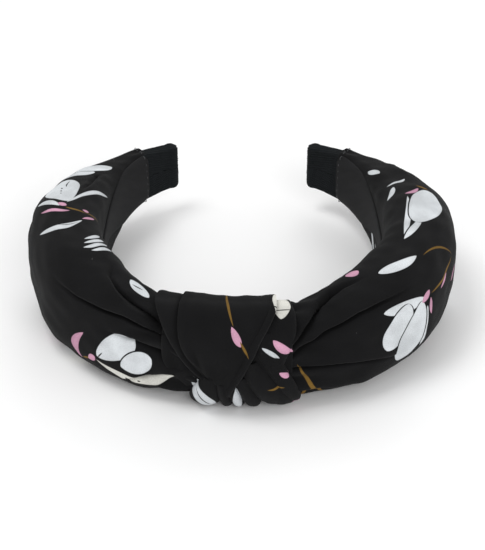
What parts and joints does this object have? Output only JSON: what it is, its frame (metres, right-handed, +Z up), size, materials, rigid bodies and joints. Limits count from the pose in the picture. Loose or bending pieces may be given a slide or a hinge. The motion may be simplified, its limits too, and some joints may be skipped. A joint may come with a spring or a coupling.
{
  "type": "knotted headband",
  "caption": "Sprung hair band: a curved plastic core padded with foam, in a printed cloth sleeve gathered into a front knot, ribbon-wrapped at the tips.",
  "frame": {"origin": "under the middle of the headband's plan, on the surface that it lies on", "axes": "+Z up from that surface, -Y towards the knot at the front, +Y towards the two tips, +X to the right of someone who faces the knot"},
  "size_m": [0.1568, 0.1444, 0.041],
  "materials": {
    "print_cloth": "matt black crepe printed with white blossom, pink buds and ochre twigs",
    "grosgrain": "matt black ribbed ribbon",
    "lining_ribbon": "soft satin, charcoal",
    "core_plastic": "moulded, satin",
    "foam_pad": "open-cell foam, matt",
    "thread": "spun polyester sewing thread"
  },
  "bodies": {
    "crown": {"core_crown": "core_plastic", "foam_crown": "foam_pad", "lining_left_neck": "lining_ribbon", "lining_right_neck": "lining_ribbon", "sleeve_left_neck": "print_cloth", "sleeve_right_neck": "print_cloth", "knot_bunch": "print_cloth", "knot_front_wrap": "print_cloth", "knot_side_band": "print_cloth", "knot_rolled_hem": "print_cloth", "knot_under_wrap": "print_cloth", "knot_pleats": "print_cloth", "knot_back_strap": "print_cloth"},
    "left_arm": {"core_left_arm": "core_plastic", "foam_left_arm": "foam_pad", "lining_left_arm": "lining_ribbon", "sleeve_left_arm": "print_cloth", "tip_ribbon_left": "grosgrain", "tip_stitches_left": "thread"},
    "right_arm": {"core_right_arm": "core_plastic", "foam_right_arm": "foam_pad", "lining_right_arm": "lining_ribbon", "sleeve_right_arm": "print_cloth", "tip_ribbon_right": "grosgrain", "tip_stitches_right": "thread"}
  },
  "joints": [
    {"name": "left_flex", "type": "hinge", "parent": "crown", "child": "left_arm", "pos_m": [-0.05054, -0.0564, 0.0205], "axis": [0, 0, 1], "range_deg": [0, 16], "stiffness_Nm_per_rad": 1},
    {"name": "right_flex", "type": "hinge", "parent": "crown", "child": "right_arm", "pos_m": [0.05054, -0.0564, 0.0205], "axis": [0, 0, -1], "range_deg": [0, 16], "stiffness_Nm_per_rad": 1}
  ]
}
